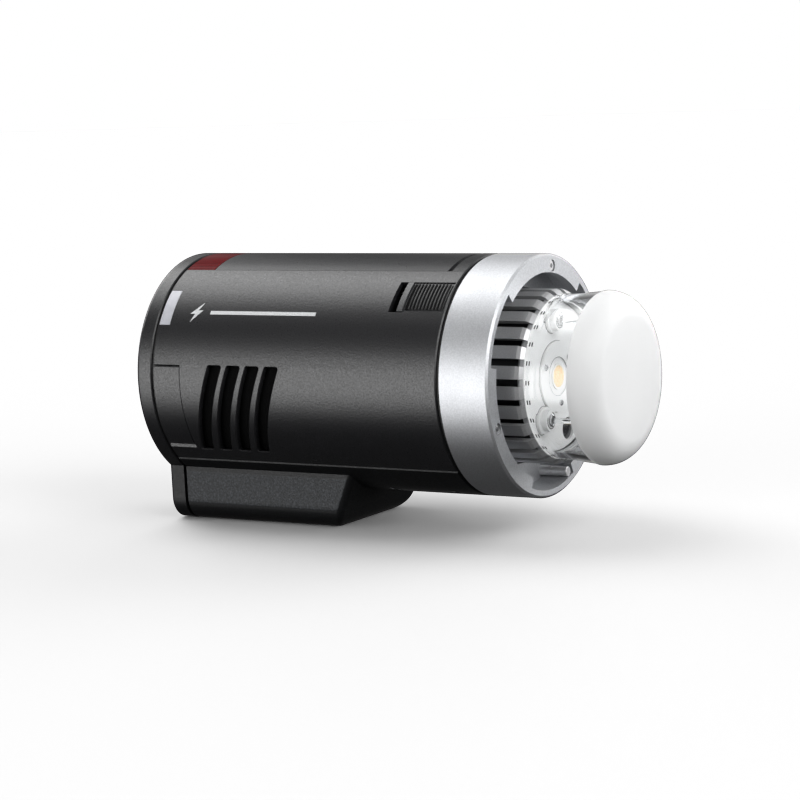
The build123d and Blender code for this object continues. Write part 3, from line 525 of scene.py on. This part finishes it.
def build_lamp_details():
    """What shows through the glass: a pale seat, dark dashes painted as the slots' reflections in the
    glass, dark rings painted as shade at the edges of the board and the chip, joint lines round the
    sockets, screws and a photocell.
    """
    cage_front = stations("vent_cage")[0]
    plate_front = stations("lamp_base")[0]
    board_front = stations("led_board")[0]
    seat_front = cage_front - 0.05
    lathe("glass_seat", [(28.35, cage_front), (30.3, cage_front), (30.3, seat_front), (28.35, seat_front)],
          "housing", "lamp_white")

    # Painted reflection: two short dark dashes before each of the cage's slots, as the glass's shoulder
    # reflects the slots.
    reflection_r, half_turn, length = 30.42, 1.5, 0.42
    slot_reflections = []
    for i in range(SLOT_COUNT):
        middle = 360 * (i + 0.5) / SLOT_COUNT
        slot_reflections += [bar_mark(middle - half_turn, middle + half_turn, ahead, ahead + length)
                    for ahead in (0.85, 1.85)]
    marks("painted_slot_reflections", slot_reflections,
          lambda bearing, ahead, lift: at(reflection_r + lift, bearing, cage_front - ahead),
          "housing", "black_plastic", height=0.05)
    # Painted shade: thin dark rings where the board's edge and the chip's edge shade the gap beside them.
    marks("board_edge_shade", ring_marks(13.15, 0.14, 72), on_front(plate_front), "housing", "black_plastic")
    marks("chip_edge_shade", ring_marks(7.1, 0.12), on_front(board_front), "housing", "black_plastic")

    lens = [(0.0, 1.6), (4.3, 1.6), (4.3, 1.0), (3.2, 0.7), (1.6, 0.45), (0.0, 0.4)]
    lathe("photocell_lens", [(r, plate_front + depth) for r, depth in lens], "housing", "black_plastic",
          steps=48, centre=PHOTOCELL_PLACE, look=DARK_LENS)
    head = [(0.0, 0.1), (1.15, 0.1), (1.15, -0.35), (0.95, -0.55), (0.45, -0.55), (0.45, -0.2), (0.0, -0.2)]
    for i, place in enumerate(BOARD_SCREW_PLACES):
        lathe(f"board_screw_{i + 1}", [(r, board_front + depth) for r, depth in head], "housing", "steel",
              steps=32, centre=place)
    build_socket_details(plate_front)


def build_socket_details(plate_front):
    """A steel sleeve in each electrode socket, a clip line on its nose, and a joint round its collar."""
    nose, nose_r = plate_front - 3.4, 4.0
    sleeve = [(1.35, plate_front), (1.35, nose - 0.5), (1.75, nose - 0.9), (2.3, nose - 0.5),
              (2.3, nose + 0.1), (2.0, nose + 0.1), (2.0, plate_front)]
    lines = ring_marks(4.95, 0.16) + ring_marks(2.75, 0.3, 48, 20, 300)
    for name, (x, z) in SOCKET_PLACES.items():
        lathe(f"{name}_sleeve", sleeve, "housing", "steel", steps=48, centre=(x, z))
        marks(f"{name}_joint", lines,
              lambda u, v, lift: xyz(x + u, (plate_front if hypot(u, v) > nose_r else nose) - lift, z + v),
              "housing", "black_plastic")


build_dome()
build_glass()
build_lamp_details()


# Barrel marks and release pad ---------------------------------------------------------------


def build_release_pad():
    """Thumb pad with ten fine round-topped ribs and a flat landing behind them, which is painted near-black
    as shade.
    """
    back = stations("slider_pad")[1]
    base, floor, crest = 44.45, 44.9, 45.55
    pad_front, first_rib, pitch, half, landing = 22.85, 23.75, 1.45, 0.24, 37.0
    outline = [(base, pad_front), (floor, pad_front)]
    for rib in range(10):
        middle = first_rib + pitch * rib
        outline += [(floor, middle - half - 0.08), (crest - 0.2, middle - half),
                    (crest - 0.05, middle - 0.14), (crest, middle), (crest - 0.05, middle + 0.14),
                    (crest - 0.2, middle + half), (floor, middle + half + 0.08)]
    outline += [(floor, landing), (base, landing)]
    sweep("release_pad", outline, *PAD_SIDES, "release", "black_rubber", replaced=["slider_pad"],
          look=RIB_RUBBER)
    # Painted shade: the landing wears the near-black shade mesh look, for the shade behind the ribs.
    sweep("release_landing", [(base, landing), (floor, landing), (floor, back - 0.3),
                              (floor - 0.3, back), (base, back)],
          *PAD_SIDES, "release", "black_rubber", look=PAINTED_SHADE_MESH)


def on_barrel(bearing, station):
    """Placing rule for marks on the barrel: u forwards, v up."""
    per_degree = BARREL_R * pi / 180
    return lambda u, v, lift: at(BARREL_R + lift, bearing - v / per_degree, station - u)


def build_barrel_marks():
    """A flash pictogram and a plain bar, which is cut in short lengths so that it follows the barrel."""
    bolt = [(2.6, 4.1), (-2.2, -0.6), (0.0, -0.6), (-1.5, -4.1), (3.3, 0.9), (1.0, 0.9), (2.9, 4.1)]
    bar = [bar_mark(u, u + 2.0, -0.75, 0.75) for u in range(7, 55, 2)]
    marks("flash_mark", [bolt] + bar, on_barrel(54.5, 131.5), "housing", "white_window", look=PRINT_INK)


def on_rear(x, z, station):
    """Placing rule for marks on a face that looks rearwards: u to -X, v up."""
    return lambda u, v, lift: xyz(x - u, station + lift, z + v)


def moved_up(outlines, rise):
    return [[(u, v + rise) for u, v in outline] for outline in outlines]


KEY_MARKS = {
    "menu": [bar_mark(-1.5, 1.5, v - 0.18, v + 0.18) for v in (-0.9, 0.0, 0.9)],
    "mode": ring_marks(0.95, 0.35, 24) + [bar_mark(-0.25, 0.25, -0.25, 0.25)],
    "lamp": ring_marks(0.0, 0.6, 16) + [spoke_mark(90 - 45 * k, 1.0, 1.5, 0.12) for k in range(8)],
    "test": [[(0.75, 1.5), (-0.75, -0.2), (0.0, -0.2), (-0.55, -1.5), (1.1, 0.35), (0.3, 0.35)]],
    "wireless": moved_up([bar_mark(-0.2, 0.2, -1.3, -0.9)] + [
        quad for r in (0.75, 1.4, 2.05) for quad in ring_marks(r, 0.28, 8, -42, 42)], -0.3),
    "power": ring_marks(1.0, 0.32, 24, 35, 325) + [bar_mark(-0.16, 0.16, 0.3, 1.55)],
}


def build_key_marks():
    """A small generic pictogram on each key, and a ring of ticks round the dial."""
    for key, outlines in KEY_MARKS.items():
        button = f"{key}_button"
        marks(f"{key}_mark", outlines, on_rear(*middle_of(button), stations(button)[1]), f"{key}_key",
              "white_window", look=PRINT_INK)
    tick_r, long_tick, short_tick = 11.9, 1.6, 0.9
    ticks = [spoke_mark(15 * i, tick_r, tick_r + (short_tick if i % 6 else long_tick), 0.12)
             for i in range(24)]
    marks("dial_ticks", ticks, on_rear(*middle_of("dial_knob"), stations("control_panel")[1]),
          "housing", "white_window", look=PRINT_INK)


build_release_pad()
build_barrel_marks()
build_key_marks()


# Stage, light and camera --------------------------------------------------------------------


def build_floor():
    """A pale floor that shows only the object's soft shadow on it."""
    mesh = bpy.data.meshes.new("floor")
    half = 4.0
    mesh.from_pydata([(-half, -half, 0), (half, -half, 0), (half, half, 0), (-half, half, 0)], [],
                     [(0, 1, 2, 3)])
    floor = bpy.data.objects.new("floor", mesh)
    floor.location.z = -0.2 * MM
    floor.is_shadow_catcher = True
    floor.visible_glossy = floor.visible_diffuse = floor.visible_transmission = False
    bpy.context.scene.collection.objects.link(floor)
    look = Look("floor", (0.2, 0.2, 0.2), 0.8)
    look.color_from(look.noise(3.0), [(0.2, (0.19, 0.19, 0.19)), (0.8, (0.21, 0.21, 0.21))])
    mesh.materials.append(look.material)


def facing(place, right, up, back):
    """Matrix of a light or a camera from its place and its three axes."""
    return Matrix.Translation(place) @ Matrix((right, up, back)).transposed().to_4x4()


def soften_edges(light):
    """Fade a softbox's light towards its edges, as its cloth front does."""
    light.use_nodes = True
    tree = light.node_tree
    new, link = tree.nodes.new, tree.links.new
    split = new("ShaderNodeSeparateXYZ")
    link(new("ShaderNodeNewGeometry").outputs["Parametric"], split.inputs["Vector"])
    both = new("ShaderNodeMath")
    both.operation = "MULTIPLY"
    for axis, target in zip("XY", both.inputs):
        offset = new("ShaderNodeMath")
        offset.operation = "SUBTRACT"
        offset.inputs[1].default_value = 0.5
        link(split.outputs[axis], offset.inputs[0])
        distance = new("ShaderNodeMath")
        distance.operation = "ABSOLUTE"
        link(offset.outputs["Value"], distance.inputs[0])
        fade = new("ShaderNodeMapRange")
        fade.interpolation_type = "SMOOTHSTEP"
        fade.inputs["From Min"].default_value = 0.5
        fade.inputs["From Max"].default_value = 0.15
        link(distance.outputs["Value"], fade.inputs["Value"])
        link(fade.outputs["Result"], target)
    link(both.outputs["Value"], tree.nodes["Emission"].inputs["Strength"])


def softbox(name, bearing, lean, distance, across, along, radiance):
    """An area light aimed at the barrel's middle, in metres.

    The bearing is about the barrel's axis, and the lean is towards the rear.
    """
    light = bpy.data.lights.new(name, "AREA")
    light.shape = "RECTANGLE"
    light.size, light.size_y = across, along
    light.energy = 4.0 * radiance * across * along
    soften_edges(light)
    lamp = bpy.data.objects.new(name, light)
    lamp.visible_camera = False
    b, t = radians(bearing), radians(lean)
    back = Vector((-sin(b) * cos(t), sin(t), cos(b) * cos(t)))
    side = Vector((cos(b), 0.0, sin(b)))
    lamp.matrix_world = facing(xyz(0, 60, 0) + back * distance, side, back.cross(side), back)
    bpy.context.scene.collection.objects.link(lamp)


def build_world():
    """White to the camera; a dim studio, darker below, to everything else."""
    world = bpy.data.worlds.new("studio")
    bpy.context.scene.world = world
    world.use_nodes = True
    tree = world.node_tree
    new, link = tree.nodes.new, tree.links.new
    split = new("ShaderNodeSeparateXYZ")
    link(new("ShaderNodeTexCoord").outputs["Generated"], split.inputs["Vector"])
    ramp = new("ShaderNodeValToRGB")
    for element, height, level in zip(ramp.color_ramp.elements, (0.0, 0.7), (0.035, 0.17)):
        element.position, element.color = height, (level, level, level, 1.0)
    link(split.outputs["Z"], ramp.inputs["Fac"])
    mix = new("ShaderNodeMix")
    mix.data_type = "RGBA"
    link(new("ShaderNodeLightPath").outputs["Is Camera Ray"], mix.inputs["Factor"])
    link(ramp.outputs["Color"], mix.inputs[MIX_A])
    mix.inputs[MIX_B].default_value = (1.0, 1.0, 1.0, 1.0)
    link(mix.outputs[MIX_RESULT], tree.nodes["Background"].inputs["Color"])


def build_camera():
    """Views the barrel from its left front, slightly above, with a slight roll."""
    azimuth, elevation, roll = radians(-57.86), radians(7.97), radians(-2.92)
    distance, target = 0.9535, xyz(-29.8, 45.9, -6.0)
    back = Vector((sin(azimuth) * cos(elevation), -cos(azimuth) * cos(elevation), sin(elevation)))
    level = Vector((cos(azimuth), sin(azimuth), 0.0))
    upright = back.cross(level)
    right = level * cos(roll) + upright * sin(roll)
    up = back.cross(right)
    data = bpy.data.cameras.new("camera")
    data.sensor_width = 36.0
    data.lens = 116.6
    data.clip_start, data.clip_end = 0.01, 50.0
    camera = bpy.data.objects.new("camera", data)
    camera.matrix_world = facing(target + back * distance, right, up, back)
    bpy.context.scene.collection.objects.link(camera)
    bpy.context.scene.camera = camera


build_floor()
build_world()
build_camera()
softbox("top_strip_light", bearing=-8.0, lean=31.8, distance=1.2,
        across=1.2, along=1.3, radiance=3.0)
softbox("side_strip_light", bearing=93.0, lean=31.8, distance=1.2,
        across=1.3, along=1.3, radiance=3.8)
softbox("front_light", bearing=31.0, lean=-60.0, distance=1.3,
        across=1.5, along=1.5, radiance=3.6)
softbox("right_front_light", bearing=-68.0, lean=-31.0, distance=1.3,
        across=1.4, along=1.5, radiance=2.9)
softbox("right_fill", bearing=-80.0, lean=10.0, distance=1.4,
        across=1.1, along=1.1, radiance=1.1)
softbox("low_rim_light", bearing=249.0, lean=31.8, distance=1.2,
        across=0.6, along=1.2, radiance=0.22)
softbox("rear_light", bearing=-50.0, lean=62.0, distance=1.4,
        across=1.4, along=1.4, radiance=1.7)
bpy.context.scene.view_settings.view_transform = "Standard"
